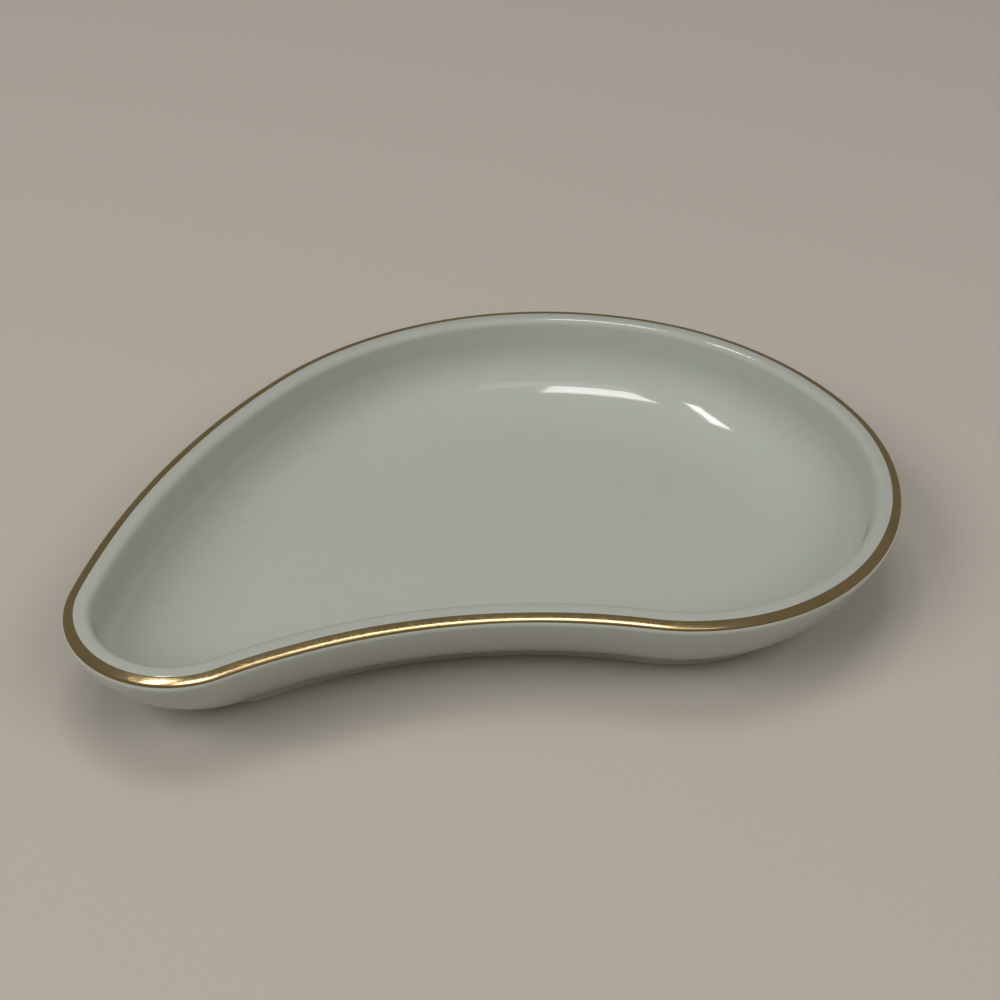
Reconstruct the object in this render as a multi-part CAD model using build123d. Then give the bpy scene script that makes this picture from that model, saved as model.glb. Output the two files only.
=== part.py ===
from build123d import *
from collections import namedtuple
from math import asin, atan2, cos, degrees, radians, sin, sqrt
import os

# A comma shaped ring dish: a clay casting on a foot ring, glazed inside and out, with a gold line on its lip.
# The long way of the dish is X, with the round lobe at +X and the narrow tip at -X. The hollow side faces -Y.
# The origin is in the middle of the plan, on the surface that the foot stands on. Millimetres and degrees.

# Plan of the rim: six arcs, each running smoothly into the next. The long back's two follow the dish's length
dish_length = 165.5
lobe_radius = 45.9
side_radius = 63.0
waist_radius = 117.0
tip_radius = 19.8
tip_drop = 3.5
crown_radius_share = 0.47
shoulder_radius_share = 0.914
side_start_angle = 6.5
crown_start_angle = 51.3

# Height, lip and walls. The lip has a small edge outside, a broad shoulder above it and a small round inside
rim_height = 21.6
lip_edge_radius = 1.0
lip_shoulder_radius = 7.3
lip_inner_radius = 1.5
lip_shoulder_angle = 65.0
outer_wall_radius = 32.0
inner_wall_lean = 10.0
well_corner_radius = 11.0
floor_edge_radius = 40.0
floor_edge_angle = 22.0
floor_thickness = 3.0

# Foot ring. Its plan is the rim's drawn in, but its waist is hollowed less and its tip ends further in, by a
# share of how far the rim's tip reaches past the side arc's circle
foot_height = 2.2
foot_inset = 12.2
foot_width = 2.8
foot_edge_radius = 0.5
foot_tip_growth = 0.9
foot_tip_rise = 0.7
foot_waist_change = -17.6
foot_tip_shift_share = 0.302

# The flat part of the well's floor. Its plan is the rim's drawn in, but its tip is rounder and ends further in,
# by another share of the same reach
floor_tip_growth = 12.2
floor_tip_shift_share = 0.453

# The outer wall takes up the foot's plan, and the well the floor's, slowly at first
foot_pull_power = 1.5
floor_pull_power = 1.2

# The glaze under the floor is flat from this far inside the foot ring
flat_margin = 0.5

# Glaze, with the strip above the table that is wiped bare
glaze_thickness = 0.3
bare_foot_height = 0.8

# Gold line on the lip's edge and shoulder, sunk a little into the glaze
gold_low_angle = 35.0
gold_high_angle = 78.0
gold_proud = 0.05
gold_sink_share = 0.5

# How many steps the walls' sections are drawn in
wall_steps = 6
corner_steps = 6
floor_steps = 4


def meeting_point(first, first_reach, second, second_reach):
    """The point at these reaches from two points, on the left of the way from the first to the second."""
    way = (second - first).normalized()
    gap = (second - first).length
    along = (gap**2 + first_reach**2 - second_reach**2) / (2 * gap)
    across = sqrt(first_reach**2 - along**2)
    return first + way * along + Vector(-way.Y, way.X) * across


def towards(angle):
    """The unit vector at an angle from X."""
    return Vector(cos(radians(angle)), sin(radians(angle)))


def heading(start, end):
    """The angle of the way from one point to another."""
    return degrees(atan2(end.Y - start.Y, end.X - start.X))


# Sections are drawn with x as minus the inset from the rim and y as the height
shoulder_change = lip_shoulder_radius - lip_edge_radius
lip_shoulder_height = rim_height - lip_shoulder_radius
lip_edge_centre = Vector(
    -lip_edge_radius, lip_shoulder_height + shoulder_change * sin(radians(lip_shoulder_angle))
)
lip_shoulder_centre = lip_edge_centre - towards(lip_shoulder_angle) * shoulder_change
lip_inner_centre = Vector(lip_shoulder_centre.X, rim_height - lip_inner_radius)
foot_corner = Vector(-foot_inset, foot_height)
outer_wall_centre = meeting_point(
    foot_corner, outer_wall_radius, lip_edge_centre, outer_wall_radius - lip_edge_radius
)
wall_top_angle = heading(outer_wall_centre, lip_edge_centre)
floor_height = foot_height + floor_thickness
radius_change = floor_edge_radius - well_corner_radius
corner_centre_height = floor_height + floor_edge_radius - radius_change * cos(radians(floor_edge_angle))
corner_inset = -lip_inner_centre.X + (
    lip_inner_radius
    + well_corner_radius
    + (lip_inner_centre.Y - corner_centre_height) * sin(radians(inner_wall_lean))
) / cos(radians(inner_wall_lean))
corner_centre = Vector(-corner_inset, corner_centre_height)
floor_inset = corner_inset + radius_change * sin(radians(floor_edge_angle))
floor_edge_centre = Vector(-floor_inset, floor_height + floor_edge_radius)

# Plan, centred on the origin both ways
crown_radius = dish_length * crown_radius_share
shoulder_radius = dish_length * shoulder_radius_share
side_climb = (side_radius - lobe_radius) * sin(radians(side_start_angle))
crown_climb = (crown_radius - side_radius) * sin(radians(crown_start_angle))
lobe_middle = (lobe_radius - crown_radius + side_climb + crown_climb) / 2
lobe_centre = Vector(dish_length / 2 - lobe_radius, lobe_middle)
side_centre = lobe_centre - towards(side_start_angle) * (side_radius - lobe_radius)
crown_centre = side_centre - towards(crown_start_angle) * (crown_radius - side_radius)
rim_tip_centre = Vector(tip_radius - dish_length / 2, lobe_middle - tip_drop)
tip_reach = (rim_tip_centre - side_centre).length - (side_radius - tip_radius)
foot_tip_shift = Vector(tip_reach * foot_tip_shift_share, foot_tip_rise)
floor_tip_shift = Vector(tip_reach * floor_tip_shift_share)

Arc = namedtuple("Arc", "centre radius start sweep bulge")


def plan_arcs(inset, foot_pull, floor_pull=0):
    """The plan's arcs at an inset from the rim, pulled this far towards the foot's or the floor's plan."""
    lobe, side, crown = lobe_radius - inset, side_radius - inset, crown_radius - inset
    shoulder = shoulder_radius - inset
    tip = tip_radius - inset + foot_tip_growth * foot_pull + floor_tip_growth * floor_pull
    waist = waist_radius + inset + foot_waist_change * foot_pull
    tip_centre = rim_tip_centre + foot_tip_shift * foot_pull + floor_tip_shift * floor_pull
    shoulder_centre = meeting_point(crown_centre, shoulder - crown, tip_centre, shoulder - tip)
    waist_centre = meeting_point(lobe_centre, waist + lobe, tip_centre, waist + tip)
    shoulder_start = heading(shoulder_centre, crown_centre)
    tip_start = heading(shoulder_centre, tip_centre)
    tip_end = heading(tip_centre, waist_centre) % 360
    lobe_start = heading(lobe_centre, waist_centre)
    waist_start = heading(waist_centre, lobe_centre)
    waist_end = heading(waist_centre, tip_centre)
    return [
        Arc(lobe_centre, lobe, lobe_start, side_start_angle - lobe_start, 1),
        Arc(side_centre, side, side_start_angle, crown_start_angle - side_start_angle, 1),
        Arc(crown_centre, crown, crown_start_angle, shoulder_start - crown_start_angle, 1),
        Arc(shoulder_centre, shoulder, shoulder_start, tip_start - shoulder_start, 1),
        Arc(tip_centre, tip, tip_start, tip_end - tip_start, 1),
        Arc(waist_centre, waist, waist_start, waist_end - waist_start, -1),
    ]


def plan_face(inset, height, foot_pull, floor_pull=0):
    """The plan at an inset and a height."""
    arcs = plan_arcs(inset, foot_pull, floor_pull)
    edges = [CenterArc(arc.centre, arc.radius, arc.start, arc.sweep) for arc in arcs]
    return Pos(0, 0, height) * make_face(edges)


def carried_round(section, pull):
    """A section carried round the plan, arc by arc, and joined into one ring."""
    lengths = []
    for arc in plan_arcs(0, pull):
        rim_point = arc.centre + towards(arc.start) * arc.radius
        outward = towards(arc.start) * arc.bulge
        place = Plane(rim_point, x_dir=outward, z_dir=Vector(outward.Y, -outward.X))
        lengths.append(revolve(place * section, Axis(arc.centre, (0, 0, 1)), arc.sweep))
    return Part() + lengths


def steps_between(start, end, steps):
    """Evenly spaced values from the start to the end, both included."""
    return [start + (end - start) * step / steps for step in range(steps + 1)]


def wall_levels(skin):
    """The outer wall's levels from the underside to the lip, each with its plan's pull."""
    wall_radius = outer_wall_radius - skin
    drop = outer_wall_centre.Y - foot_height - skin
    foot_angle = degrees(asin(-drop / wall_radius))
    top_inset = -(outer_wall_centre + towards(wall_top_angle) * outer_wall_radius).X
    levels = []
    for angle in steps_between(foot_angle, wall_top_angle, wall_steps):
        glazed_inset = -(outer_wall_centre + towards(angle) * outer_wall_radius).X
        share = max(glazed_inset - top_inset, 0) / (foot_inset - top_inset)
        point = outer_wall_centre + towards(angle) * wall_radius
        levels.append(plan_face(-point.X, point.Y, share**foot_pull_power))
    return levels


def well_levels(skin):
    """The levels of the well's corner and floor edge, from the wall in to the flat floor."""
    top_inset = -(corner_centre + towards(-inner_wall_lean) * well_corner_radius).X
    bend = floor_edge_angle - 90
    runs = [
        (corner_centre, well_corner_radius, steps_between(-inner_wall_lean, bend, corner_steps)),
        (floor_edge_centre, floor_edge_radius, steps_between(bend, -90, floor_steps)[1:]),
    ]
    levels = []
    for centre, radius, angles in runs:
        for angle in angles:
            glazed_inset = -(centre + towards(angle) * radius).X
            share = max(glazed_inset - top_inset, 0) / (floor_inset - top_inset)
            point = centre + towards(angle) * (radius + skin)
            levels.append(plan_face(-point.X, point.Y, 0, share**floor_pull_power))
    return levels


def bowl(skin):
    """The dish without its foot, its surface this far below the glaze's."""
    edge, shoulder = lip_edge_radius - skin, lip_shoulder_radius - skin
    wall_top = lip_edge_centre + towards(wall_top_angle) * edge
    lip_inner = lip_inner_centre + towards(180 - inner_wall_lean) * (lip_inner_radius - skin)
    corner_top = corner_centre + towards(-inner_wall_lean) * (well_corner_radius + skin)
    wall_share = (wall_top.Y - corner_top.Y) / (lip_inner.Y - corner_top.Y)
    inner_wall = corner_top + (lip_inner - corner_top) * wall_share
    lip = make_face(
        [
            CenterArc(lip_edge_centre, edge, wall_top_angle, lip_shoulder_angle - wall_top_angle),
            CenterArc(lip_shoulder_centre, shoulder, lip_shoulder_angle, 90 - lip_shoulder_angle),
            CenterArc(lip_inner_centre, lip_inner_radius - skin, 90, 90 - inner_wall_lean),
            Line(lip_inner, inner_wall),
            Line(inner_wall, wall_top),
        ]
    )
    wall_faces = [plan_face(-point.X, point.Y, 0) for point in (corner_top, lip_inner)]
    well = loft(well_levels(skin)) + loft(wall_faces, ruled=True)
    return loft(wall_levels(skin)) - well + carried_round(lip, 0)


def rectangle(outer_inset, inner_inset, bottom, top):
    """A section's rectangle between two insets and two heights."""
    middle = Pos(-(outer_inset + inner_inset) / 2, (bottom + top) / 2)
    return middle * Rectangle(inner_inset - outer_inset, top - bottom)


def lip_band(sunk, proud):
    """A band on the lip from the gold line's low edge to its high edge, this far into the glaze and out of it."""
    low, high, change = towards(gold_low_angle), towards(gold_high_angle), lip_shoulder_angle
    edges = []
    for rise in (-sunk, proud):
        edge, shoulder = lip_edge_radius + rise, lip_shoulder_radius + rise
        edges.append(CenterArc(lip_edge_centre, edge, gold_low_angle, change - gold_low_angle))
        edges.append(CenterArc(lip_shoulder_centre, shoulder, change, gold_high_angle - change))
    for centre, radius, way in (
        (lip_edge_centre, lip_edge_radius, low),
        (lip_shoulder_centre, lip_shoulder_radius, high),
    ):
        edges.append(Line(centre + way * (radius - sunk), centre + way * (radius + proud)))
    return make_face(edges)


# Heights and insets that the foot and the glaze share
clay_underside = foot_height + glaze_thickness
foot_inner_inset = foot_inset + foot_width
clay_foot_outer = foot_inset + glaze_thickness
clay_foot_inner = foot_inner_inset - glaze_thickness
flat_inset = foot_inner_inset + flat_margin


def make_dish_body():
    """The clay casting: floor, wall and lip."""
    return bowl(glaze_thickness)


def make_foot_ring():
    """The clay ring under the floor, with rounded edges at the table."""
    section = rectangle(clay_foot_outer, clay_foot_inner, 0, clay_underside)
    table_corners = section.vertices().group_by(Axis.Y)[0]
    return carried_round(fillet(table_corners, foot_edge_radius), 1)


def make_gold_rim_line():
    """The gold line, sunk a little into the glaze."""
    return carried_round(lip_band(glaze_thickness * gold_sink_share, gold_proud), 0)


def make_glaze_coat(clay, gold):
    """The glaze on the well, the lip, the outer wall and the foot's outer side, with a seat for the gold."""
    inside_foot = extrude(plan_face(clay_foot_outer, 0, 1), clay_underside)
    foot_side = rectangle(foot_inset, clay_foot_outer, bare_foot_height, foot_height)
    return bowl(0) - clay - inside_foot + carried_round(foot_side, 1) - gold


def make_underside_glaze():
    """The glaze under the floor, inside the foot ring."""
    foot_side = rectangle(clay_foot_inner, foot_inner_inset, bare_foot_height, clay_underside)
    edge = rectangle(foot_inner_inset, flat_inset, foot_height, clay_underside)
    middle = extrude(plan_face(flat_inset, foot_height, 1), glaze_thickness)
    return carried_round(foot_side + edge, 1) + middle


dish_body = make_dish_body()
gold_rim_line = make_gold_rim_line()
pieces = {
    "dish_body": dish_body,
    "foot_ring": make_foot_ring(),
    "glaze_coat": make_glaze_coat(dish_body, gold_rim_line),
    "underside_glaze": make_underside_glaze(),
    "gold_rim_line": gold_rim_line,
}
os.makedirs("parts", exist_ok=True)
for name, piece in pieces.items():
    piece.label = name
    export_step(piece, f"parts/{name}.step")
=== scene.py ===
from collections import namedtuple
from math import asin, atan2, cos, pi, radians, sin, sqrt, tau

import bmesh
import bpy
from bpy.props import FloatProperty, FloatVectorProperty, PointerProperty
from mathutils import Matrix, Quaternion, Vector, noise


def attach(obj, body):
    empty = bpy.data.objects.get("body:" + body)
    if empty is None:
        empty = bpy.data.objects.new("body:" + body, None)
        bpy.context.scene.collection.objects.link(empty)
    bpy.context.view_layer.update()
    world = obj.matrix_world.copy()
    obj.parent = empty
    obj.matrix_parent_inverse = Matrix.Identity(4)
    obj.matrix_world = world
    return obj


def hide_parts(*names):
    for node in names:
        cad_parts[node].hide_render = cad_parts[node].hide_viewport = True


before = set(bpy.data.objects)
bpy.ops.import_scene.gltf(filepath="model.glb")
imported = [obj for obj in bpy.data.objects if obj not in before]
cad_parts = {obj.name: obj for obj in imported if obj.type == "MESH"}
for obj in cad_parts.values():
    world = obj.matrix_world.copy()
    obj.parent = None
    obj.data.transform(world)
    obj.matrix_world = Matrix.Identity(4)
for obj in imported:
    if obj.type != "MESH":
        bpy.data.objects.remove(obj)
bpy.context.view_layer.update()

bl_info = {
    "name": "Ring dish",
    "version": (1, 0, 0),
    "blender": (4, 5, 0),
    "location": "3D View > Sidebar > Ring Dish",
    "description": "Comma shaped ring dish with a glazed well, a bare clay foot and a gold line",
    "category": "Add Mesh",
}

MM = 0.001
UP = Vector((0, 0, 1))


# Properties


def length(name, description, millimetres):
    """A length, given in millimetres and kept in metres."""
    return FloatProperty(
        name=name, description=description, default=millimetres * MM, unit="LENGTH", precision=5
    )


def turn(name, description, angle):
    """An angle, given in degrees and kept in radians."""
    return FloatProperty(
        name=name, description=description, default=radians(angle), subtype="ANGLE"
    )


def share(name, description, value):
    """A plain number: a share, or a power or strength of a like size."""
    return FloatProperty(
        name=name, description=description, default=value, subtype="FACTOR", min=0, max=2
    )


def colour(name, description, red, green, blue):
    """A linear colour."""
    return FloatVectorProperty(
        name=name,
        description=description,
        default=(red, green, blue),
        subtype="COLOR",
        min=0,
        max=1,
    )


class RingDishPlan(bpy.types.PropertyGroup):
    """The dish seen from above: six arcs, each running smoothly into the next."""

    dish_length: length("Length", "From the narrow tip to the round lobe", 165.5)
    lobe_radius: length("Lobe radius", "Round end's arc", 45.9)
    side_radius: length("Side radius", "Arc after the lobe", 63.0)
    waist_radius: length("Waist radius", "Hollow front's arc", 117.0)
    tip_radius: length("Tip radius", "Narrow end's arc", 19.8)
    tip_drop: length("Tip drop", "How far the tip lies in front of the lobe's middle", 3.5)
    crown_share: share("Crown share", "Crown radius over the length", 0.47)
    shoulder_share: share("Shoulder share", "Shoulder radius over the length", 0.914)
    side_start: turn("Side start", "Where the side's arc begins", 6.5)
    crown_start: turn("Crown start", "Where the crown's arc begins", 51.3)
    foot_tip_growth: length("Foot tip growth", "Added to the tip's radius at the foot", 0.9)
    foot_tip_rise: length("Foot tip rise", "How far the foot's tip lies behind the rim's", 0.7)
    foot_waist_change: length("Foot waist change", "Added to the waist's radius at the foot", -17.6)
    foot_tip_shift: share(
        "Foot tip shift", "How far the foot's tip is drawn in, over the tip's reach", 0.302
    )
    floor_tip_growth: length(
        "Floor tip growth", "Added to the tip's radius at the well's floor", 12.2
    )
    floor_tip_shift: share(
        "Floor tip shift", "How far the floor's tip is drawn in, over the tip's reach", 0.453
    )
    spacing: length("Spacing", "Between the mesh's steps round the rim", 1.0)


class RingDishSection(bpy.types.PropertyGroup):
    """The dish cut through its wall."""

    rim_height: length("Rim height", "From the table to the top of the lip", 21.6)
    lip_edge_radius: length("Lip edge radius", "Rounding of the lip's outer edge", 1.0)
    lip_shoulder_radius: length("Lip shoulder radius", "Broad rounding above the outer edge", 7.3)
    lip_inner_radius: length("Lip inner radius", "Rounding of the lip towards the well", 1.5)
    lip_shoulder_angle: turn(
        "Lip shoulder angle", "Where the edge's round becomes the shoulder's", 65.0
    )
    outer_wall_radius: length("Outer wall radius", "Belly of the outer wall", 32.0)
    inner_wall_lean: turn("Inner wall lean", "How far the inner wall leans outwards", 10.0)
    well_corner_radius: length("Well corner radius", "Between the inner wall and the floor", 11.0)
    floor_edge_radius: length("Floor edge radius", "Slow rise of the floor to the corner", 40.0)
    floor_edge_angle: turn("Floor edge angle", "How steep the floor's edge is at the corner", 22.0)
    floor_thickness: length("Floor thickness", "Glaze included", 3.0)
    foot_height: length("Foot height", "From the table to the underside", 2.2)
    foot_inset: length("Foot inset", "From the rim in to the foot's outer side", 12.2)
    foot_width: length("Foot width", "Glaze included", 2.8)
    foot_edge_radius: length("Foot edge radius", "Rounding of the foot at the table", 0.5)
    bare_foot_height: length("Bare foot height", "Strip above the table with no glaze", 0.8)
    glaze_thickness: length("Glaze thickness", "Depth of the glaze", 0.3)
    foot_pull_power: share(
        "Foot pull power", "How slowly the wall takes up the foot's plan at first", 1.5
    )
    floor_pull_power: share(
        "Floor pull power", "How slowly the well takes up the floor's plan at first", 1.2
    )
    gold_low: turn("Gold line's low edge", "On the lip's edge, up from level", 35.0)
    gold_high: turn("Gold line's high edge", "On the lip's shoulder, up from level", 78.0)
    gold_proud: length("Gold line's height", "Above the glaze", 0.05)


class RingDishFinish(bpy.types.PropertyGroup):
    """Colours and gloss of the glaze, the clay and the gold."""

    glaze_colour: colour("Glaze", "The glaze where it lies evenly", 0.40, 0.419, 0.37)
    glaze_pooled: colour("Pooled glaze", "The glaze where it has run together", 0.365, 0.388, 0.315)
    # Painted shade: a colour darker than the glaze, laid on the lip's upward faces; it also colours
    # the glaze's random mottle
    glaze_thin: colour("Thin glaze", "The glaze where it has run off the lip", 0.34, 0.348, 0.305)
    glaze_roughness: share("Glaze roughness", "Nought is a mirror", 0.07)
    speck_colour: colour("Specks", "Fine iron specks in the glaze", 0.22, 0.17, 0.10)
    clay_colour: colour("Bare clay", "The ground foot", 0.50, 0.44, 0.36)
    gold_colour: colour("Gold", "The line where it is bright", 0.76, 0.57, 0.285)
    gold_worn: colour("Worn gold", "The line where it is dull", 0.46, 0.33, 0.15)
    gold_roughness: share("Gold roughness", "Nought is a mirror", 0.12)


class RingDishStage(bpy.types.PropertyGroup):
    """Floor, lamps and camera."""

    floor_colour: colour("Floor", "Plain pale floor", 0.42, 0.385, 0.335)
    floor_width: FloatProperty(
        name="Floor width", description="Side of the floor", default=8.0, unit="LENGTH"
    )
    sky_colour: colour("Sky", "Even light from all round", 1.0, 0.98, 0.95)
    sky_strength: share("Sky strength", "How bright the even light is", 0.15)
    camera_lens: FloatProperty(name="Lens", description="Focal length in millimetres", default=66.6)
    camera_sensor: FloatProperty(name="Sensor", description="Width in millimetres", default=36)
    camera_roll: turn("Camera roll", "Turn about the line of sight", 2.912)
    camera_place: FloatVectorProperty(
        name="Camera place",
        description="Where the camera stands",
        default=(-0.11605, -0.25166, 0.24477),
        subtype="TRANSLATION",
        precision=5,
    )
    camera_aim: FloatVectorProperty(
        name="Camera aim",
        description="Point on the floor in the middle of the picture",
        default=(0.01365, 0.01690, 0.0),
        subtype="TRANSLATION",
        precision=5,
    )


# Plan and section


Arc = namedtuple("Arc", "centre radius start sweep bulge")


def towards(angle):
    """The unit vector at an angle from the first axis."""
    return Vector((cos(angle), sin(angle)))


def heading(start, end):
    """The angle of the way from one point to another."""
    return atan2(end.y - start.y, end.x - start.x)


def meeting_point(first, first_reach, second, second_reach):
    """The point at these reaches from two points, on the left of the way between them."""
    way = (second - first).normalized()
    gap = (second - first).length
    along = (gap**2 + first_reach**2 - second_reach**2) / (2 * gap)
    across = sqrt(first_reach**2 - along**2)
    return first + way * along + Vector((-way.y, way.x)) * across


class DishForm:
    """Where the dish's section and plan run.

    A point of the section has minus the inset from the rim first, and then the height.
    """

    def __init__(self, plan, section):
        self.plan = plan
        self.section = section
        self.place_lip()
        self.place_well()
        self.place_plan()

    def place_lip(self):
        """Places the lip's three rounds and the outer wall's arc."""
        section = self.section
        edge, shoulder = section.lip_edge_radius, section.lip_shoulder_radius
        change = shoulder - edge
        edge_height = section.rim_height - shoulder + change * sin(section.lip_shoulder_angle)
        self.lip_edge = Vector((-edge, edge_height))
        self.lip_shoulder = self.lip_edge - towards(section.lip_shoulder_angle) * change
        inner_height = section.rim_height - section.lip_inner_radius
        self.lip_inner = Vector((self.lip_shoulder.x, inner_height))
        wall = section.outer_wall_radius
        foot_corner = Vector((-section.foot_inset, section.foot_height))
        self.wall_centre = meeting_point(foot_corner, wall, self.lip_edge, wall - edge)
        self.wall_top = heading(self.wall_centre, self.lip_edge)

    def place_well(self):
        """Places the well's corner and the floor's slow edge."""
        section = self.section
        lean, bend = section.inner_wall_lean, section.floor_edge_angle
        corner = section.well_corner_radius
        change = section.floor_edge_radius - corner
        self.floor_height = section.foot_height + section.floor_thickness
        corner_height = self.floor_height + section.floor_edge_radius - change * cos(bend)
        drop = self.lip_inner.y - corner_height
        across = (section.lip_inner_radius + corner + drop * sin(lean)) / cos(lean)
        self.corner_centre = Vector((self.lip_inner.x - across, corner_height))
        self.floor_inset = -self.corner_centre.x + change * sin(bend)
        self.floor_edge = Vector((-self.floor_inset, self.floor_height + section.floor_edge_radius))

    def place_plan(self):
        """Places the plan's arcs, centred on the origin both ways."""
        plan = self.plan
        half = plan.dish_length / 2
        self.crown_radius = plan.dish_length * plan.crown_share
        self.shoulder_radius = plan.dish_length * plan.shoulder_share
        climb = (plan.side_radius - plan.lobe_radius) * sin(plan.side_start)
        climb += (self.crown_radius - plan.side_radius) * sin(plan.crown_start)
        middle = (plan.lobe_radius - self.crown_radius + climb) / 2
        self.lobe_centre = Vector((half - plan.lobe_radius, middle))
        side_way = towards(plan.side_start) * (plan.side_radius - plan.lobe_radius)
        self.side_centre = self.lobe_centre - side_way
        crown_way = towards(plan.crown_start) * (self.crown_radius - plan.side_radius)
        self.crown_centre = self.side_centre - crown_way
        self.tip_centre = Vector((plan.tip_radius - half, middle - plan.tip_drop))
        reach = (self.tip_centre - self.side_centre).length - (plan.side_radius - plan.tip_radius)
        self.foot_tip_shift = Vector((reach * plan.foot_tip_shift, plan.foot_tip_rise))
        self.floor_tip_shift = Vector((reach * plan.floor_tip_shift, 0))

    def arcs(self, inset, foot_pull, floor_pull):
        """The plan's arcs at an inset.

        The pulls say how far they are drawn from the rim's form to the foot's and the floor's.
        """
        plan = self.plan
        lobe, side = plan.lobe_radius - inset, plan.side_radius - inset
        crown, shoulder = self.crown_radius - inset, self.shoulder_radius - inset
        tip = plan.tip_radius - inset
        tip += plan.foot_tip_growth * foot_pull
        tip += plan.floor_tip_growth * floor_pull
        waist = plan.waist_radius + inset + plan.foot_waist_change * foot_pull
        tip_at = self.tip_centre + self.foot_tip_shift * foot_pull
        tip_at += self.floor_tip_shift * floor_pull
        shoulder_at = meeting_point(self.crown_centre, shoulder - crown, tip_at, shoulder - tip)
        waist_at = meeting_point(self.lobe_centre, waist + lobe, tip_at, waist + tip)
        lobe_start = heading(self.lobe_centre, waist_at)
        shoulder_start = heading(shoulder_at, self.crown_centre)
        tip_start = heading(shoulder_at, tip_at)
        tip_end = heading(tip_at, waist_at) % tau
        waist_start, waist_end = heading(waist_at, tip_at), heading(waist_at, self.lobe_centre)
        return [
            Arc(self.lobe_centre, lobe, lobe_start, plan.side_start - lobe_start, 1),
            Arc(self.side_centre, side, plan.side_start, plan.crown_start - plan.side_start, 1),
            Arc(self.crown_centre, crown, plan.crown_start, shoulder_start - plan.crown_start, 1),
            Arc(shoulder_at, shoulder, shoulder_start, tip_start - shoulder_start, 1),
            Arc(tip_at, tip, tip_start, tip_end - tip_start, 1),
            Arc(waist_at, waist, waist_start, waist_end - waist_start, -1),
        ]

    def wall_pull(self, angle):
        """The outer wall's pulls at an angle of its arc, from none at the lip to the foot's."""
        radius, foot_inset = self.section.outer_wall_radius, self.section.foot_inset
        top_inset = -(self.wall_centre + towards(self.wall_top) * radius).x
        inset = -(self.wall_centre + towards(angle) * radius).x
        taken = max(inset - top_inset, 0) / (foot_inset - top_inset)
        return taken**self.section.foot_pull_power, 0.0

    def corner_pull(self, angle):
        """The well's pulls at an angle of its corner's arc."""
        reach = towards(angle) * self.section.well_corner_radius
        return self.floor_pull(-(self.corner_centre + reach).x)

    def edge_pull(self, angle):
        """The well's pulls at an angle of the floor edge's arc."""
        reach = towards(angle) * self.section.floor_edge_radius
        return self.floor_pull(-(self.floor_edge + reach).x)

    def floor_pull(self, inset):
        """The well's pulls at an inset, from none at the wall to the floor's plan."""
        section = self.section
        reach = towards(-section.inner_wall_lean) * section.well_corner_radius
        wall_inset = -(self.corner_centre + reach).x
        taken = max(inset - wall_inset, 0) / (self.floor_inset - wall_inset)
        return 0.0, min(taken, 1) ** section.floor_pull_power

    def lip_spot(self, along, rise):
        """The lip's point at a distance from its shoulder's start, raised off the glaze."""
        section = self.section
        centre, radius = self.lip_edge, section.lip_edge_radius
        if along > 0:
            centre, radius = self.lip_shoulder, section.lip_shoulder_radius
        return centre + towards(section.lip_shoulder_angle + along / radius) * (radius + rise)

    def wall_foot(self, skin):
        """The angle at which the outer wall, this far below the glaze, reaches the underside."""
        drop = self.wall_centre.y - self.section.foot_height - skin
        return -asin(drop / (self.section.outer_wall_radius - skin))


# Modelling

# How far a section's point takes up the foot's plan, and the floor's
RIM_FORM = (0.0, 0.0)
FOOT_FORM = (1.0, 0.0)
FLOOR_FORM = (0.0, 1.0)

# The fewest steps in any of the plan's arcs, and the gap up to which two points are one
FEWEST_STEPS = 8
JOIN_GAP = 0.002 * MM

# Edges that bend by more than this are shaded as sharp
SHARP_ANGLE = radians(50)

# The level strip between a floor's last curve and the flat face that closes it
FLAT_STRIP = 1.5 * MM


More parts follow.
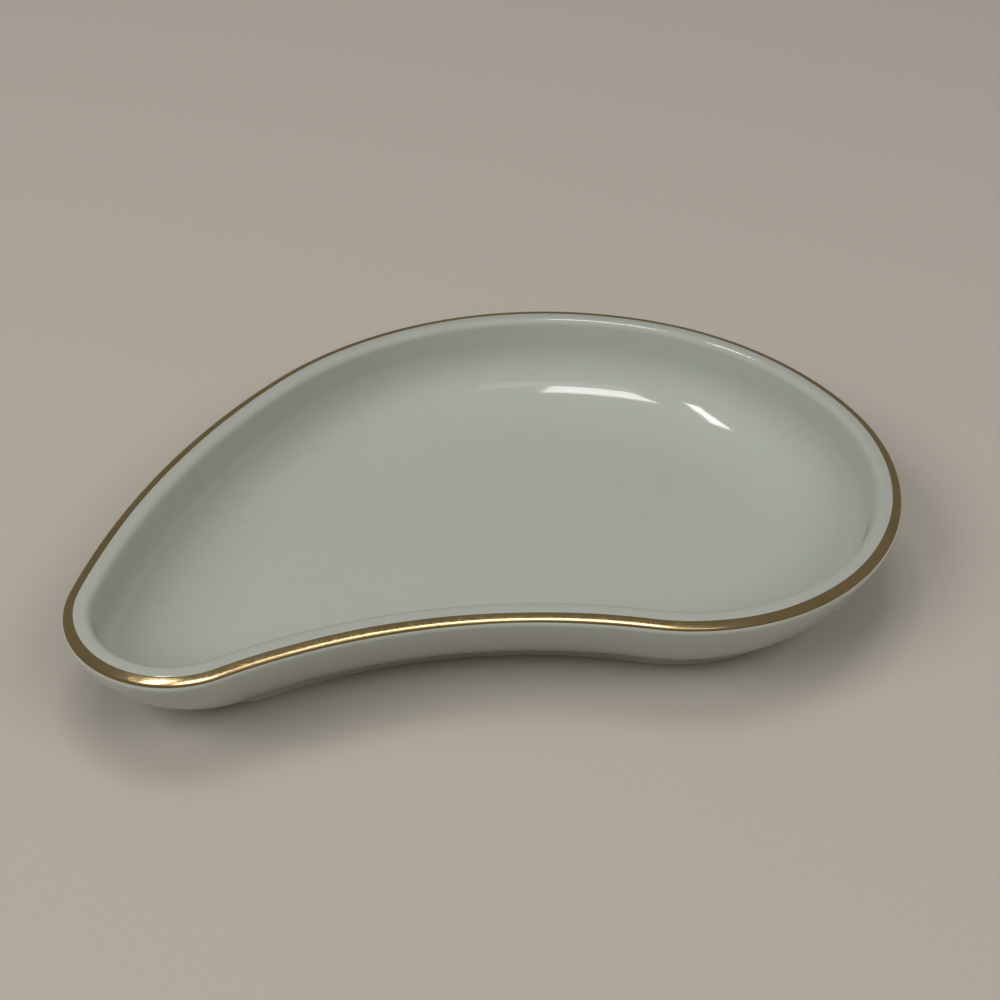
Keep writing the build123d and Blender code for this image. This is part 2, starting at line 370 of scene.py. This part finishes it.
class Pen:
    """Draws a section as a chain of edges and carries it round the plan."""

    def __init__(self, form, start, pulls=RIM_FORM, **marks):
        self.form = form
        self.mesh = bmesh.new()
        layers = self.mesh.verts.layers.float
        self.pulls = [layers.new(name) for name in ("foot_pull", "floor_pull")]
        self.inset = layers.new("inset")
        # Marks for the material: pooled glaze, painted shade on the lip, and the gold line's width
        # and height
        self.marks = {name: layers.new(name) for name in ("pool", "thin", "across", "rise")}
        self.tip = self.mesh.verts.new((start.x, 0, start.y))
        self.first = self.tip
        self.set_pulls(self.tip, pulls)
        self.mark([self.tip], marks)

    def set_pulls(self, vert, pulls):
        """Keeps a vertex's pulls for when the section is carried round."""
        for layer, value in zip(self.pulls, pulls):
            vert[layer] = value

    def mark(self, verts, marks):
        """Marks vertices for the material, each with a number or a function of its place."""
        for name, value in marks.items():
            for vert in verts:
                vert[self.marks[name]] = value(vert.co) if callable(value) else value

    def line(self, end, steps=1, pulls=RIM_FORM, **marks):
        """A straight line to a point."""
        start = self.tip.co.copy()
        for step in range(1, steps + 1):
            grown = bmesh.ops.extrude_vert_indiv(self.mesh, verts=[self.tip])
            self.tip = grown["verts"][0]
            self.tip.co = start.lerp(Vector((end.x, 0, end.y)), step / steps)
            self.set_pulls(self.tip, pulls)
            self.mark([self.tip], marks)

    def arc(self, centre, start, end, steps, pulls_at=None, **marks):
        """An arc about a centre, from the angle of the section's end so far to another."""
        count = len(self.mesh.verts)
        spun = bmesh.ops.spin(
            self.mesh,
            geom=[self.tip],
            cent=(centre.x, 0, centre.y),
            axis=(0, -1, 0),
            angle=end - start,
            steps=steps,
            use_duplicate=False,
        )
        self.tip = [item for item in spun["geom_last"] if isinstance(item, bmesh.types.BMVert)][0]
        self.mesh.verts.ensure_lookup_table()
        drawn = self.mesh.verts[count:]
        for vert in drawn:
            angle = atan2(vert.co.z - centre.y, vert.co.x - centre.x)
            self.set_pulls(vert, pulls_at(angle) if pulls_at else RIM_FORM)
        self.mark(drawn, marks)

    def close(self):
        """Joins the section's end to its start."""
        self.mesh.edges.new((self.tip, self.first))

    def carry_round(self):
        """Spins the section about each of the plan's arcs, and pulls each level to its own plan."""
        mesh, form = self.mesh, self.form
        arcs = form.arcs(0, *RIM_FORM)
        start = arcs[0].centre + towards(arcs[0].start) * arcs[0].radius
        place = Matrix.Translation((start.x, start.y, 0)) @ Matrix.Rotation(arcs[0].start, 4, "Z")
        for vert in mesh.verts:
            vert[self.inset] = -vert.co.x
        bmesh.ops.transform(mesh, matrix=place, verts=mesh.verts[:])
        geometry = mesh.verts[:] + mesh.edges[:]
        section = mesh.verts[:]
        turned = [(vert, 0, 0.0) for vert in section]
        for index, arc in enumerate(arcs):
            count = len(mesh.verts)
            steps = max(round(arc.radius * abs(arc.sweep) / form.plan.spacing), FEWEST_STEPS)
            spun = bmesh.ops.spin(
                mesh,
                geom=geometry,
                cent=(arc.centre.x, arc.centre.y, 0),
                axis=UP,
                angle=arc.sweep,
                steps=steps,
                use_duplicate=False,
            )
            geometry = spun["geom_last"]
            mesh.verts.ensure_lookup_table()
            for position, vert in enumerate(mesh.verts[count:]):
                turned.append((vert, index, (position // len(section) + 1) / steps))
        self.pull_in(turned)
        bmesh.ops.remove_doubles(mesh, verts=mesh.verts[:], dist=JOIN_GAP)

    def pull_in(self, turned):
        """Moves vertices to where the pulled plans have them.

        Each comes with its arc's index and its share of that arc's sweep.
        """
        plans = {}
        for vert, index, share_turned in turned:
            pulls = tuple(vert[layer] for layer in self.pulls)
            if pulls == RIM_FORM:
                continue
            key = (vert[self.inset], *pulls)
            if key not in plans:
                plans[key] = self.form.arcs(*key)
            arc = plans[key][index]
            spot = arc.centre + towards(arc.start + arc.sweep * share_turned) * arc.radius
            vert.co.x, vert.co.y = spot.x, spot.y


def close_floors(mesh):
    """Closes the open loops with flat faces."""
    open_edges = [edge for edge in mesh.edges if edge.is_boundary]
    bmesh.ops.holes_fill(mesh, edges=open_edges, sides=0)


def finish_piece(name, mesh, material, nodes):
    """Turns a bmesh into a smooth shaded piece that rides on the frame."""
    bmesh.ops.recalc_face_normals(mesh, faces=mesh.faces[:])
    data = bpy.data.meshes.new(name)
    mesh.to_mesh(data)
    mesh.free()
    data.shade_smooth()
    data.set_sharp_from_angle(angle=SHARP_ANGLE)
    piece = bpy.data.objects.new(name, data)
    bpy.context.scene.collection.objects.link(piece)
    data.materials.append(material)
    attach(piece, "root")
    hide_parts(*nodes)


# Materials

# The Mix node's sockets for colours, which share their names with its other sockets
FIRST_COLOUR = 6
SECOND_COLOUR = 7
MIXED_COLOUR = 2


class Paint:
    """A material's nodes, added and wired one at a time."""

    def __init__(self, name):
        self.material = bpy.data.materials.new(name)
        self.material.use_nodes = True
        self.tree = self.material.node_tree
        self.surface = self.tree.nodes["Principled BSDF"]
        self.place = self.tree.nodes.new("ShaderNodeTexCoord").outputs["Object"]

    def node(self, kind, inputs=(), **settings):
        """Adds a node, sets it up and fills its sockets."""
        added = self.tree.nodes.new(kind)
        for name, value in settings.items():
            setattr(added, name, value)
        for key, value in dict(inputs).items():
            self.fill(added.inputs[key], value)
        return added

    def fill(self, socket, value):
        """Wires a socket to another, or sets its value."""
        if isinstance(value, bpy.types.NodeSocket):
            self.tree.links.new(value, socket)
        elif socket.type == "RGBA":
            socket.default_value = (*value[:3], 1)
        else:
            socket.default_value = value

    def noise(self, lumps, detail, roughness=0.5):
        """Soft noise, with this many lumps to the metre."""
        inputs = {
            "Vector": self.place,
            "Scale": lumps,
            "Detail": detail,
            "Roughness": roughness,
        }
        return self.node("ShaderNodeTexNoise", inputs).outputs["Fac"]

    def dots(self, count):
        """The distance to the nearest of scattered points, this many to the metre."""
        inputs = {"Vector": self.place, "Scale": count, "Randomness": 1.0}
        return self.node("ShaderNodeTexVoronoi", inputs).outputs["Distance"]

    def mark(self, name):
        """A mark on the piece's own mesh."""
        return self.node("ShaderNodeAttribute", attribute_name=name).outputs["Fac"]

    def spread(self, value, low, high, first=0.0, last=1.0):
        """Maps a range of values on another, evenly."""
        inputs = {
            "Value": value,
            "From Min": low,
            "From Max": high,
            "To Min": first,
            "To Max": last,
        }
        return self.node("ShaderNodeMapRange", inputs, clamp=True).outputs["Result"]

    def times(self, first, second):
        """The product of two values."""
        return self.node("ShaderNodeMath", {0: first, 1: second}, operation="MULTIPLY").outputs[0]

    def plus(self, first, second):
        """The sum of two values."""
        return self.node("ShaderNodeMath", {0: first, 1: second}, operation="ADD").outputs[0]

    def blend(self, factor, first, second):
        """A colour between two others."""
        mixer = self.node("ShaderNodeMix", data_type="RGBA")
        self.fill(mixer.inputs["Factor"], factor)
        self.fill(mixer.inputs[FIRST_COLOUR], first)
        self.fill(mixer.inputs[SECOND_COLOUR], second)
        return mixer.outputs[MIXED_COLOUR]

    def bump(self, height, distance, strength=1.0, normal=None):
        """Raises the surface by a height, over a distance in metres."""
        inputs = {"Height": height, "Distance": distance, "Strength": strength}
        if normal:
            inputs["Normal"] = normal
        return self.node("ShaderNodeBump", inputs).outputs["Normal"]

    def finish(self, **values):
        """Fills the surface's own sockets and returns the material."""
        for name, value in values.items():
            self.fill(self.surface.inputs[name.replace("_", " ")], value)
        return self.material


def ready_made(name, mix):
    """The material of this name, mixed the first time it is asked for."""
    return bpy.data.materials.get(name) or mix(name)


def ivory_glaze(name):
    """Glossy pale ivory glaze with a green cast where it has pooled, and painted shade on the lip's
    upward faces.
    """
    finish = bpy.context.scene.ring_dish_finish
    paint = Paint(name)
    cloud = paint.noise(lumps=38, detail=4, roughness=0.55)
    cloud = paint.spread(cloud, low=0.35, high=0.7, last=0.35)
    mottle = paint.noise(lumps=260, detail=3, roughness=0.6)
    mottle = paint.spread(mottle, low=0.45, high=0.75, last=0.18)
    even = paint.blend(cloud, finish.glaze_colour, finish.glaze_pooled)
    even = paint.blend(mottle, even, finish.glaze_thin)
    pool_share = paint.times(paint.mark("pool"), 0.55)
    pooled = paint.blend(pool_share, even, finish.glaze_pooled)
    # Painted shade: the lip's upward faces are darkened by their share
    thin_share = paint.times(paint.mark("thin"), 0.75)
    thin = paint.blend(thin_share, pooled, finish.glaze_thin)
    sparse = paint.spread(paint.noise(lumps=90, detail=2), low=0.5, high=0.62)
    speck = paint.times(paint.spread(paint.dots(count=420), low=0.10, high=0.04), sparse)
    coloured = paint.blend(paint.times(speck, 0.5), thin, finish.speck_colour)
    wear = paint.noise(lumps=140, detail=5, roughness=0.7)
    wear = paint.spread(wear, low=0.45, high=0.8, last=0.05)
    roughness = paint.plus(wear, finish.glaze_roughness)
    swell = paint.noise(lumps=55, detail=2, roughness=0.4)
    normal = paint.bump(swell, distance=0.3 * MM, strength=0.12)
    ripple = paint.noise(lumps=700, detail=2)
    normal = paint.bump(ripple, distance=0.02 * MM, strength=0.25, normal=normal)
    return paint.finish(
        Base_Color=coloured,
        Roughness=roughness,
        Normal=normal,
        IOR=1.52,
        Subsurface_Weight=0.08,
        Subsurface_Scale=1.2 * MM,
        Coat_Weight=0.5,
        Coat_Roughness=0.03,
    )


# The darkest of the bare clay, over its own colour
CLAY_SHADE = 0.72


def bare_clay(name):
    """Ground and fired clay with fine grain."""
    finish = bpy.context.scene.ring_dish_finish
    paint = Paint(name)
    cloud = paint.spread(paint.noise(lumps=60, detail=4), low=0.35, high=0.7)
    grain = paint.noise(lumps=2400, detail=3, roughness=0.7)
    grain = paint.spread(grain, low=0.4, high=0.7)
    dark = tuple(part * CLAY_SHADE for part in finish.clay_colour)
    base = paint.blend(paint.times(cloud, 0.4), finish.clay_colour, dark)
    base = paint.blend(paint.times(grain, 0.25), base, dark)
    pits = paint.noise(lumps=1800, detail=4, roughness=0.7)
    normal = paint.bump(pits, distance=0.06 * MM, strength=0.5)
    roughness = paint.spread(grain, low=0, high=1, first=0.74, last=0.9)
    return paint.finish(Base_Color=base, Roughness=roughness, Normal=normal, IOR=1.45)


def gold_lustre(name):
    """Brushed and fired gold, bright in places and dull in others."""
    finish = bpy.context.scene.ring_dish_finish
    paint = Paint(name)
    across = paint.mark("across")
    dull = paint.noise(lumps=55, detail=4, roughness=0.6)
    dull = paint.spread(dull, low=0.42, high=0.68)
    fine = paint.noise(lumps=900, detail=3, roughness=0.65)
    fine = paint.spread(fine, low=0.4, high=0.75)
    base = paint.blend(paint.times(dull, 0.35), finish.gold_colour, finish.gold_worn)
    base = paint.blend(paint.times(fine, 0.2), base, finish.gold_worn)
    # The line is darker along its low edge
    low_edge = paint.spread(across, low=0.16, high=0.0)
    base = paint.blend(paint.times(low_edge, 0.8), base, finish.gold_worn)
    wear = paint.spread(fine, low=0, high=1, last=0.10)
    roughness = paint.plus(wear, finish.gold_roughness)
    fall = paint.spread(across, low=0.3, high=1.0, first=1, last=0)
    normal = paint.bump(fall, distance=0.12 * MM)
    swell = paint.noise(lumps=260, detail=2, roughness=0.4)
    normal = paint.bump(swell, distance=0.02 * MM, strength=0.2, normal=normal)
    return paint.finish(Base_Color=base, Metallic=1.0, Roughness=roughness, Normal=normal)


def plain_floor(name):
    """Matt pale card."""
    stage = bpy.context.scene.ring_dish_stage
    paint = Paint(name)
    fibre = paint.noise(lumps=900, detail=4, roughness=0.6)
    fibre = paint.spread(fibre, low=0.3, high=0.7, first=0.985, last=1.0)
    shade = paint.node("ShaderNodeHueSaturation", {"Value": fibre, "Color": stage.floor_colour})
    return paint.finish(Base_Color=shade.outputs["Color"], Roughness=0.9, Specular_IOR_Level=0.1)


# Operators


def dish_form(context):
    """The dish's form, from the scene's sizes."""
    return DishForm(context.scene.ring_dish_plan, context.scene.ring_dish_section)


def level(inset, height):
    """A point of the section."""
    return Vector((-inset, height))


class RINGDISH_OT_clay_body(bpy.types.Operator):
    """Gives the cast body under the glaze its fired clay"""

    bl_idname = "ring_dish.clay_body"
    bl_label = "Clay body"

    def execute(self, context):
        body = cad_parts["dish_body"]
        body.data.materials.clear()
        body.data.materials.append(ready_made("bare clay", bare_clay))
        return {"FINISHED"}


class RINGDISH_OT_foot_ring(bpy.types.Operator):
    """Models the bare clay foot ring, ground flat at the table"""

    bl_idname = "ring_dish.foot_ring"
    bl_label = "Foot ring"

    def execute(self, context):
        form = dish_form(context)
        section = form.section
        outer = section.foot_inset + section.glaze_thickness
        inner = section.foot_inset + section.foot_width - section.glaze_thickness
        edge = section.foot_edge_radius
        top = section.foot_height + section.glaze_thickness

        def pulls_at(angle):
            return FOOT_FORM

        pen = Pen(form, level(outer, top), FOOT_FORM)
        pen.line(level(outer, edge), steps=2, pulls=FOOT_FORM)
        pen.arc(level(outer + edge, edge), 0, -pi / 2, steps=6, pulls_at=pulls_at)
        pen.line(level(inner - edge, 0), steps=2, pulls=FOOT_FORM)
        pen.arc(level(inner - edge, edge), -pi / 2, -pi, steps=6, pulls_at=pulls_at)
        pen.line(level(inner, top), steps=2, pulls=FOOT_FORM)
        pen.close()
        pen.carry_round()
        clay = ready_made("bare clay", bare_clay)
        finish_piece("foot_ring_bare", pen.mesh, clay, ["foot_ring"])
        return {"FINISHED"}


class RINGDISH_OT_underside(bpy.types.Operator):
    """Models the glaze under the floor, inside the foot ring"""

    bl_idname = "ring_dish.underside"
    bl_label = "Underside glaze"

    def execute(self, context):
        form = dish_form(context)
        section = form.section
        thick = section.glaze_thickness
        inner = section.foot_inset + section.foot_width
        flat = inner + FLAT_STRIP
        under, over = section.foot_height, section.foot_height + thick
        pen = Pen(form, level(flat, under), FOOT_FORM)
        pen.line(level(inner, under), steps=2, pulls=FOOT_FORM, pool=1.0)
        pen.line(level(inner, section.bare_foot_height), steps=3, pulls=FOOT_FORM)
        pen.line(level(inner - thick, section.bare_foot_height), pulls=FOOT_FORM)
        pen.line(level(inner - thick, over), steps=2, pulls=FOOT_FORM)
        pen.line(level(flat, over), pulls=FOOT_FORM)
        pen.carry_round()
        close_floors(pen.mesh)
        glaze = ready_made("ivory glaze", ivory_glaze)
        finish_piece("underside_glazed", pen.mesh, glaze, ["underside_glaze"])
        return {"FINISHED"}


# How high above the floor the glaze has pooled, over the well's corner radius
POOL_DEPTH = 0.4


class RINGDISH_OT_glaze(bpy.types.Operator):
    """Models the glaze over the well, the lip, the outer wall and the foot's outer side"""

    bl_idname = "ring_dish.glaze"
    bl_label = "Glaze coat"

    def execute(self, context):
        form = dish_form(context)
        section = form.section
        thick, foot, bare = section.glaze_thickness, section.foot_inset, section.bare_foot_height
        lean, bend = section.inner_wall_lean, section.floor_edge_angle - pi / 2
        corner, wall = section.well_corner_radius, section.outer_wall_radius
        change = section.lip_shoulder_angle
        wall_foot, clay_foot = form.wall_foot(0), form.wall_foot(thick)
        flat = form.floor_inset + FLAT_STRIP

        # How far a face of the lip turns upward, which sets its painted shade
        def upward(centre):
            return lambda place: max(sin(atan2(place.z - centre.y, place.x - centre.x)), 0) ** 2

        def pooled(place):
            return max(1 - (place.z - form.floor_height) / (POOL_DEPTH * corner), 0)

        pen = Pen(form, level(flat, form.floor_height), FLOOR_FORM, pool=1.0)
        flat_end = level(form.floor_inset, form.floor_height)
        lip_end = form.lip_inner + towards(pi - lean) * section.lip_inner_radius
        clay_end = form.wall_centre + towards(clay_foot) * (wall - thick)
        # The glaze's outside, from the floor over the lip to the foot
        pen.line(flat_end, steps=2, pulls=FLOOR_FORM, pool=1.0)
        pen.arc(form.floor_edge, -pi / 2, bend, steps=12, pulls_at=form.edge_pull, pool=pooled)
        pen.arc(form.corner_centre, bend, -lean, steps=20, pulls_at=form.corner_pull, pool=pooled)
        pen.line(lip_end, steps=4)
        # The lip's upward faces are marked for painted shade
        pen.arc(form.lip_inner, pi - lean, pi / 2, steps=14, thin=upward(form.lip_inner))
        pen.arc(form.lip_shoulder, pi / 2, change, steps=10, thin=upward(form.lip_shoulder))
        pen.arc(form.lip_edge, change, form.wall_top, steps=14, thin=upward(form.lip_edge))
        pen.arc(form.wall_centre, form.wall_top, wall_foot, steps=26, pulls_at=form.wall_pull)
        pen.line(level(foot, bare), steps=3, pulls=FOOT_FORM, pool=0.6)
        # Its inside, on the clay, back to the floor
        pen.line(level(foot + thick, bare), pulls=FOOT_FORM)
        pen.line(level(foot + thick, section.foot_height + thick), pulls=FOOT_FORM)
        pen.line(clay_end, pulls=form.wall_pull(clay_foot))
        pen.arc(form.wall_centre, clay_foot, form.wall_top, steps=14, pulls_at=form.wall_pull)
        pen.arc(form.lip_edge, form.wall_top, change, steps=8)
        pen.arc(form.lip_shoulder, change, pi / 2, steps=6)
        pen.arc(form.lip_inner, pi / 2, pi - lean, steps=8)
        pen.line(form.corner_centre + towards(-lean) * (corner + thick))
        pen.arc(form.corner_centre, -lean, bend, steps=12, pulls_at=form.corner_pull)
        pen.arc(form.floor_edge, bend, -pi / 2, steps=6, pulls_at=form.edge_pull)
        pen.line(level(flat, form.floor_height - thick), pulls=FLOOR_FORM)
        pen.carry_round()
        close_floors(pen.mesh)
        glaze = ready_made("ivory glaze", ivory_glaze)
        finish_piece("glaze_shell", pen.mesh, glaze, ["glaze_coat"])
        return {"FINISHED"}


class Waver(namedtuple("Waver", "reach lumps seed")):
    """How a brushed edge wanders: how far, how often to the metre, and in which layer of noise."""

    def shift(self, spot):
        """How far the edge is shifted at a spot."""
        return noise.noise(Vector((spot.x, spot.y, self.seed)) * self.lumps) * self.reach


LOW_WAVER = Waver(reach=0.08 * MM, lumps=55, seed=0)
HIGH_WAVER = Waver(reach=0.12 * MM, lumps=70, seed=0.3)

# The line's height falls across it: where that starts, over what width, and what is left
FALL_START = 0.24
FALL_WIDTH = 0.6
LEFT_AFTER_FALL = 0.12

# At both edges, over this share of its width, the line dips below the glaze by this much
EDGE_WIDTH = 0.05
EDGE_DIP = 0.01 * MM


def brushed_height(full, across):
    """The gold line's height above the glaze at a share of its width, from its full height."""
    fallen = min(max((across - FALL_START) / FALL_WIDTH, 0), 1)
    kept = 1 - fallen * fallen * (3 - 2 * fallen)
    thinned = full * (LEFT_AFTER_FALL + (1 - LEFT_AFTER_FALL) * kept)
    at_edge = max(1 - min(across, 1 - across) / EDGE_WIDTH, 0)
    return thinned - (thinned + EDGE_DIP) * at_edge**2


class RINGDISH_OT_gold_line(bpy.types.Operator):
    """Models the gold line on the lip, with edges as a brush leaves them"""

    bl_idname = "ring_dish.gold_line"
    bl_label = "Gold line"

    def execute(self, context):
        form = dish_form(context)
        section = form.section
        edge, shoulder = section.lip_edge_radius, section.lip_shoulder_radius
        low, high = section.gold_low, section.gold_high
        change = section.lip_shoulder_angle
        proud, sunk = section.gold_proud, section.glaze_thickness / 2
        start, end = (low - change) * edge, (high - change) * shoulder

        def across(centre, radius):
            def share_of(place):
                angle = atan2(place.z - centre.y, place.x - centre.x)
                return ((angle - change) * radius - start) / (end - start)

            return share_of

        on_edge = across(form.lip_edge, edge)
        on_shoulder = across(form.lip_shoulder, shoulder)
        pen = Pen(form, form.lip_spot(start, -sunk), rise=-sunk)
        pen.line(form.lip_spot(start, proud), rise=proud)
        pen.arc(form.lip_edge, low, change, steps=8, rise=proud, across=on_edge)
        pen.arc(form.lip_shoulder, change, high, steps=12, rise=proud, across=on_shoulder)
        pen.line(form.lip_spot(end, -sunk), rise=-sunk, across=1.0)
        pen.arc(form.lip_shoulder, high, change, steps=5, rise=-sunk, across=on_shoulder)
        pen.arc(form.lip_edge, change, low, steps=4, rise=-sunk, across=on_edge)
        pen.carry_round()
        self.waver(pen, form, start, end)
        gold = ready_made("gold lustre", gold_lustre)
        finish_piece("gold_line", pen.mesh, gold, ["gold_rim_line"])
        return {"FINISHED"}

    def waver(self, pen, form, start, end):
        """Lets the line's edges waver, and thins its height up the shoulder and at both edges."""
        arcs = form.arcs(0, *RIM_FORM)
        across_mark, rise_mark = pen.marks["across"], pen.marks["rise"]
        for vert in pen.mesh.verts:
            arc = nearest_arc(arcs, vert.co.xy)
            outward = (vert.co.xy - arc.centre).normalized()
            rim = arc.centre + outward * arc.radius
            across = min(max(vert[across_mark], 0), 1)
            along = start + (end - start) * across
            along += LOW_WAVER.shift(rim) * (1 - across) + HIGH_WAVER.shift(rim) * across
            rise = vert[rise_mark]
            if rise > 0:
                rise = brushed_height(rise, across)
            spot = form.lip_spot(along, rise)
            flat = rim + outward * arc.bulge * spot.x
            vert.co = Vector((flat.x, flat.y, spot.y))


# How much a spot's gap to an arc's circle counts, beside its gap to the arc's own stretch
CIRCLE_WEIGHT = 0.1


def nearest_arc(arcs, spot):
    """The arc of the plan whose own stretch holds a spot near the rim."""
    best, best_gap = arcs[0], float("inf")
    for arc in arcs:
        flat = spot - arc.centre
        turned = (atan2(flat.y, flat.x) - arc.start - arc.sweep / 2 + pi) % tau - pi
        outside = max(abs(turned) - abs(arc.sweep) / 2, 0) * arc.radius
        gap = outside + abs(flat.length - arc.radius) * CIRCLE_WEIGHT
        if gap < best_gap:
            best, best_gap = arc, gap
    return best


Lamp = namedtuple("Lamp", "name place size power turned")

# A lamp with a turn is mirrored in the glaze and the gold. One without is soft, and isn't.
LAMPS = (
    Lamp("ceiling panel", place=(0.056, 0.10, 1.2), size=(0.22, 0.30), power=1.4, turned=-24),
    Lamp("ceiling tube", place=(-0.20, 0.29, 1.2), size=(0.50, 0.07), power=1.05, turned=50),
    Lamp("ceiling strip", place=(0.03, -0.18, 1.2), size=(0.5, 0.25), power=0.32, turned=-20),
    Lamp("soft front", place=(0.35, -0.78, 1.02), size=(1.0, 0.6), power=6.1, turned=None),
    Lamp("soft left", place=(-0.95, -0.15, 0.95), size=(0.8, 0.6), power=9.2, turned=None),
    Lamp("soft ceiling", place=(0.0, 0.2, 1.4), size=(0.8, 0.8), power=2.0, turned=None),
)
LAMP_AIM = Vector((0, 0, 0.01))

# The nearest and the farthest that the camera sees
CAMERA_CLIP = (0.01, 20)


class RINGDISH_OT_stage(bpy.types.Operator):
    """Lays the pale floor and sets the lamps and the camera"""

    bl_idname = "ring_dish.stage"
    bl_label = "Floor, lamps and camera"

    def execute(self, context):
        stage = context.scene.ring_dish_stage
        self.floor(context, stage)
        self.sky(context, stage)
        for lamp in LAMPS:
            self.hang(context, lamp)
        self.camera(context, stage)
        return {"FINISHED"}

    def floor(self, context, stage):
        """A flat floor under the foot."""
        mesh = bmesh.new()
        bmesh.ops.create_grid(mesh, x_segments=1, y_segments=1, size=stage.floor_width / 2)
        data = bpy.data.meshes.new("floor")
        mesh.to_mesh(data)
        mesh.free()
        data.materials.append(ready_made("plain floor", plain_floor))
        floor = bpy.data.objects.new("floor", data)
        context.scene.collection.objects.link(floor)

    def sky(self, context, stage):
        """Even light from all round. The camera sees a pale card instead where the floor ends."""
        world = bpy.data.worlds.new("soft sky")
        context.scene.world = world
        world.use_nodes = True
        tree = world.node_tree
        room = tree.nodes["Background"]
        room.inputs["Color"].default_value = (*stage.sky_colour, 1)
        room.inputs["Strength"].default_value = stage.sky_strength
        card = tree.nodes.new("ShaderNodeBackground")
        card.inputs["Color"].default_value = (*stage.floor_colour, 1)
        seen = tree.nodes.new("ShaderNodeLightPath").outputs["Is Camera Ray"]
        either = tree.nodes.new("ShaderNodeMixShader")
        for socket, source in zip(either.inputs, (seen, room.outputs[0], card.outputs[0])):
            tree.links.new(source, socket)
        tree.links.new(either.outputs[0], tree.nodes["World Output"].inputs["Surface"])

    def hang(self, context, lamp):
        """A rectangular lamp that looks at the dish, level or turned about the upright."""
        data = bpy.data.lights.new(lamp.name, "AREA")
        data.shape = "RECTANGLE"
        data.size, data.size_y = lamp.size
        data.energy = lamp.power
        hung = bpy.data.objects.new(lamp.name, data)
        hung.location = lamp.place
        look = (LAMP_AIM - Vector(lamp.place)).normalized()
        if lamp.turned is None:
            across = UP.cross(look)
            hung.visible_glossy = False
        else:
            across = Matrix.Rotation(radians(lamp.turned), 3, "Z") @ Vector((1, 0, 0))
        across = (across - look * across.dot(look)).normalized()
        hung.rotation_euler = Matrix((across, across.cross(look), -look)).transposed().to_euler()
        context.scene.collection.objects.link(hung)

    def camera(self, context, stage):
        """A camera at the height and side that the dish is looked at from."""
        data = bpy.data.cameras.new("camera")
        data.lens = stage.camera_lens
        data.sensor_width = stage.camera_sensor
        data.clip_start, data.clip_end = CAMERA_CLIP
        camera = bpy.data.objects.new("camera", data)
        place, aim = Vector(stage.camera_place), Vector(stage.camera_aim)
        look = (aim - place).to_track_quat("-Z", "Y")
        camera.location = place
        camera.rotation_euler = (look @ Quaternion((0, 0, 1), stage.camera_roll)).to_euler()
        context.scene.collection.objects.link(camera)
        context.scene.camera = camera
        context.scene.view_settings.view_transform = "Standard"


# Panel


class RINGDISH_PT_sidebar(bpy.types.Panel):
    """Sizes, finishes and pieces of the ring dish"""

    bl_idname = "RINGDISH_PT_sidebar"
    bl_label = "Ring Dish"
    bl_space_type = "VIEW_3D"
    bl_region_type = "UI"
    bl_category = "Ring Dish"

    def draw(self, context):
        layout = self.layout
        for operator in OPERATORS:
            layout.operator(operator.bl_idname)
        for group in GROUPS:
            box = layout.box()
            settings = getattr(context.scene, group)
            box.label(text=settings.__doc__ or group)
            for name in settings.__annotations__:
                box.prop(settings, name)


GROUPS = {
    "ring_dish_plan": RingDishPlan,
    "ring_dish_section": RingDishSection,
    "ring_dish_finish": RingDishFinish,
    "ring_dish_stage": RingDishStage,
}
OPERATORS = (
    RINGDISH_OT_clay_body,
    RINGDISH_OT_foot_ring,
    RINGDISH_OT_underside,
    RINGDISH_OT_glaze,
    RINGDISH_OT_gold_line,
    RINGDISH_OT_stage,
)


def register():
    """Registers the property groups, the operators and the panel."""
    for name, group in GROUPS.items():
        bpy.utils.register_class(group)
        setattr(bpy.types.Scene, name, PointerProperty(type=group))
    for operator in OPERATORS:
        bpy.utils.register_class(operator)
    bpy.utils.register_class(RINGDISH_PT_sidebar)


def unregister():
    """Takes everything back in the opposite order."""
    bpy.utils.unregister_class(RINGDISH_PT_sidebar)
    for operator in reversed(OPERATORS):
        bpy.utils.unregister_class(operator)
    for name, group in reversed(GROUPS.items()):
        delattr(bpy.types.Scene, name)
        bpy.utils.unregister_class(group)


def main():
    """Makes the dish and its stage."""
    register()
    bpy.ops.ring_dish.clay_body()
    bpy.ops.ring_dish.foot_ring()
    bpy.ops.ring_dish.underside()
    bpy.ops.ring_dish.glaze()
    bpy.ops.ring_dish.gold_line()
    bpy.ops.ring_dish.stage()


if __name__ == "__main__":
    main()
